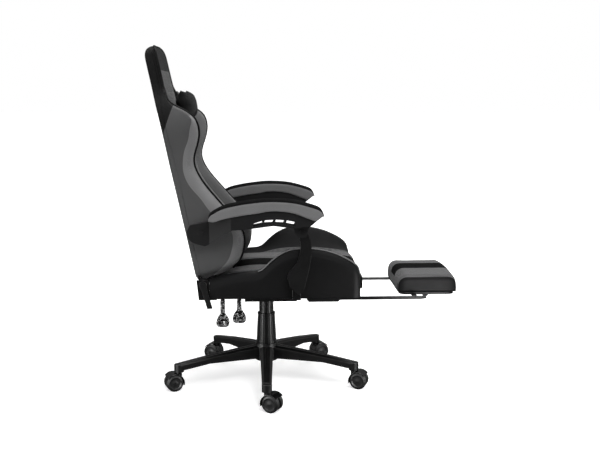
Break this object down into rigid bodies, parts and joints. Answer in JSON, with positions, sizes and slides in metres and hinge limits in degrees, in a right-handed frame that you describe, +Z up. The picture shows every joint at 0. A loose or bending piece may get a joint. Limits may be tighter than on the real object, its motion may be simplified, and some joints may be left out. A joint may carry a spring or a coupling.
{
  "type": "gaming chair",
  "caption": "High-backed bucket gaming chair with side wings, pillows, linked armrests, slide-out footrest, gas lift and star base on twin-wheel casters.",
  "frame": {"origin": "on the floor under the middle of the bounding box", "axes": "+X forward, the way the sitter faces; +Y to the sitter's left; +Z up"},
  "size_m": [1.0574, 0.6879, 1.1879],
  "materials": {
    "black_nylon": "satin moulded nylon",
    "gloss_black": "glossy",
    "wheel_black": "satin",
    "black_paint": "satin powder coat",
    "plain_steel": "smooth",
    "cover_black": "satin",
    "black_plastic": "satin",
    "dark_plywood": "stained board",
    "grey_mesh": "woven mesh",
    "light_grey_cloth": "woven mesh",
    "black_cloth": "woven cloth"
  },
  "bodies": {
    "base": {"star_base": "black_nylon", "gas_lift_tube": "black_paint", "base_dust_cover": "cover_black"},
    "caster_1": {"caster_1_hood": "gloss_black"},
    "caster_1_wheels": {"caster_1_wheel_inner": "wheel_black", "caster_1_wheel_outer": "wheel_black"},
    "caster_2": {"caster_2_hood": "gloss_black"},
    "caster_2_wheels": {"caster_2_wheel_inner": "wheel_black", "caster_2_wheel_outer": "wheel_black"},
    "caster_3": {"caster_3_hood": "gloss_black"},
    "caster_3_wheels": {"caster_3_wheel_inner": "wheel_black", "caster_3_wheel_outer": "wheel_black"},
    "caster_4": {"caster_4_hood": "gloss_black"},
    "caster_4_wheels": {"caster_4_wheel_inner": "wheel_black", "caster_4_wheel_outer": "wheel_black"},
    "caster_5": {"caster_5_hood": "gloss_black"},
    "caster_5_wheels": {"caster_5_wheel_inner": "wheel_black", "caster_5_wheel_outer": "wheel_black"},
    "lift": {"gas_lift_piston": "plain_steel", "lift_dust_cover": "cover_black"},
    "mechanism": {"mechanism_box": "black_paint", "tilt_pin": "plain_steel", "tilt_spring": "plain_steel"},
    "seat": {"seat_plate": "black_paint", "seat_pan": "dark_plywood", "seat_cushion": "grey_mesh", "seat_bolster_right": "black_cloth", "seat_bolster_left": "black_cloth", "recliner_plate_right": "black_paint", "recliner_plate_left": "black_paint", "footrest_guide_right": "black_plastic", "footrest_guide_left": "black_plastic", "armrest_mount_right": "black_paint", "armrest_mount_left": "black_paint"},
    "height_lever": {"height_lever_rod": "black_paint", "height_lever_paddle": "gloss_black"},
    "tilt_lever": {"tilt_lever_rod": "black_paint", "tilt_lever_paddle": "gloss_black"},
    "recline_lever": {"recline_lever": "black_plastic"},
    "back": {"recliner_arm_right": "black_paint", "recliner_arm_left": "black_paint", "back_shell": "black_cloth", "back_cushion": "grey_mesh", "back_wing_right": "grey_mesh", "back_wing_left": "grey_mesh", "head_cushion": "black_cloth", "neck_pillow": "black_cloth", "lumbar_pillow": "black_cloth"},
    "arm_post_right": {"armrest_post_right": "black_plastic"},
    "armrest_right": {"armrest_pad_right": "light_grey_cloth", "armrest_support_right": "black_plastic", "armrest_pin_right": "black_plastic"},
    "arm_post_left": {"armrest_post_left": "black_plastic"},
    "armrest_left": {"armrest_pad_left": "light_grey_cloth", "armrest_support_left": "black_plastic", "armrest_pin_left": "black_plastic"},
    "footrest_slide": {"footrest_rail": "black_paint"},
    "footrest_pad": {"footrest_board": "black_plastic", "footrest_pad": "grey_mesh"}
  },
  "joints": [
    {"name": "caster_1_swivel", "type": "hinge", "parent": "base", "child": "caster_1", "pos_m": [-0.12481, -0.29967, 0.06454], "axis": [0, 0, 1], "continuous": true},
    {"name": "caster_1_roll", "type": "hinge", "parent": "caster_1", "child": "caster_1_wheels", "pos_m": [-0.10715, -0.30906, 0.02954], "axis": [0.4695, 0.8829, 0], "continuous": true},
    {"name": "caster_2_swivel", "type": "hinge", "parent": "base", "child": "caster_2", "pos_m": [0.18238, -0.07648, 0.06454], "axis": [0, 0, 1], "continuous": true},
    {"name": "caster_2_roll", "type": "hinge", "parent": "caster_2", "child": "caster_2_wheels", "pos_m": [0.20105, -0.08365, 0.02954], "axis": [0.3584, 0.9336, 0], "continuous": true},
    {"name": "caster_3_swivel", "type": "hinge", "parent": "base", "child": "caster_3", "pos_m": [0.06504, 0.28464, 0.06454], "axis": [0, 0, 1], "continuous": true},
    {"name": "caster_3_roll", "type": "hinge", "parent": "caster_3", "child": "caster_3_wheels", "pos_m": [0.08384, 0.29148, 0.02954], "axis": [-0.342, 0.9397, 0], "continuous": true},
    {"name": "caster_4_swivel", "type": "hinge", "parent": "base", "child": "caster_4", "pos_m": [-0.31466, 0.28464, 0.06454], "axis": [0, 0, 1], "continuous": true},
    {"name": "caster_4_roll", "type": "hinge", "parent": "caster_4", "child": "caster_4_wheels", "pos_m": [-0.33346, 0.29148, 0.02954], "axis": [-0.342, -0.9397, 0], "continuous": true},
    {"name": "caster_5_swivel", "type": "hinge", "parent": "base", "child": "caster_5", "pos_m": [-0.432, -0.07648, 0.06454], "axis": [0, 0, 1], "continuous": true},
    {"name": "caster_5_roll", "type": "hinge", "parent": "caster_5", "child": "caster_5_wheels", "pos_m": [-0.45067, -0.08365, 0.02954], "axis": [0.3584, -0.9336, 0], "continuous": true},
    {"name": "lift_height", "type": "slide", "parent": "base", "child": "lift", "axis": [0, 0, 1], "range_m": [0, 0.08]},
    {"name": "seat_swivel", "type": "hinge", "parent": "lift", "child": "mechanism", "pos_m": [-0.12481, 0.02333, 0.31954], "axis": [0, 0, 1], "continuous": true},
    {"name": "seat_tilt", "type": "hinge", "parent": "mechanism", "child": "seat", "pos_m": [-0.03981, 0.02333, 0.33554], "axis": [0, -1, 0], "range_deg": [0, 10], "stiffness_Nm_per_rad": 160, "springref_deg": -34.38},
    {"name": "height_lever_lift", "type": "hinge", "parent": "seat", "child": "height_lever", "pos_m": [-0.26981, -0.17667, 0.34954], "axis": [0, 1, 0], "range_deg": [0, 8], "stiffness_Nm_per_rad": 2, "springref_deg": -11.46},
    {"name": "tilt_lever_turn", "type": "hinge", "parent": "seat", "child": "tilt_lever", "pos_m": [-0.21481, -0.17667, 0.34954], "axis": [0, -1, 0], "range_deg": [0, 10], "stiffness_Nm_per_rad": 2, "springref_deg": -11.46},
    {"name": "back_recline", "type": "hinge", "parent": "seat", "child": "back", "pos_m": [-0.33281, 0.02333, 0.40654], "axis": [0, -1, 0], "range_deg": [0, 40]},
    {"name": "recline_lever_lift", "type": "hinge", "parent": "seat", "child": "recline_lever", "pos_m": [-0.33281, -0.22967, 0.40654], "axis": [0, -1, 0], "range_deg": [0, 25], "stiffness_Nm_per_rad": 1, "springref_deg": -17.19},
    {"name": "arm_post_right_swing", "type": "hinge", "parent": "seat", "child": "arm_post_right", "pos_m": [-0.02481, -0.24967, 0.41754], "axis": [0, -1, 0], "range_deg": [0, 40.5]},
    {"name": "armrest_right_pivot", "type": "hinge", "parent": "arm_post_right", "child": "armrest_right", "pos_m": [-0.00681, -0.24967, 0.58754], "axis": [0, -1, 0], "range_deg": [-38, 0]},
    {"name": "arm_post_left_swing", "type": "hinge", "parent": "seat", "child": "arm_post_left", "pos_m": [-0.02481, 0.29633, 0.41754], "axis": [0, -1, 0], "range_deg": [0, 40.5]},
    {"name": "armrest_left_pivot", "type": "hinge", "parent": "arm_post_left", "child": "armrest_left", "pos_m": [-0.00681, 0.29633, 0.58754], "axis": [0, -1, 0], "range_deg": [-38, 0]},
    {"name": "footrest_reach", "type": "slide", "parent": "seat", "child": "footrest_slide", "axis": [1, 0, 0], "range_m": [-0.27, 0]},
    {"name": "footrest_turn", "type": "hinge", "parent": "footrest_slide", "child": "footrest_pad", "pos_m": [0.43119, 0.02333, 0.33754], "axis": [0, 1, 0], "range_deg": [0, 180.5]}
  ],
  "couplings": [
    {"joint": "arm_post_right_swing", "follows": "back_recline", "ratio": 1.0005},
    {"joint": "armrest_right_pivot", "follows": "back_recline", "ratio": -0.936},
    {"joint": "arm_post_left_swing", "follows": "back_recline", "ratio": 1.0005},
    {"joint": "armrest_left_pivot", "follows": "back_recline", "ratio": -0.936},
    {"joint": "footrest_turn", "follows": "footrest_reach", "rad_per_m": -11.636}
  ]
}
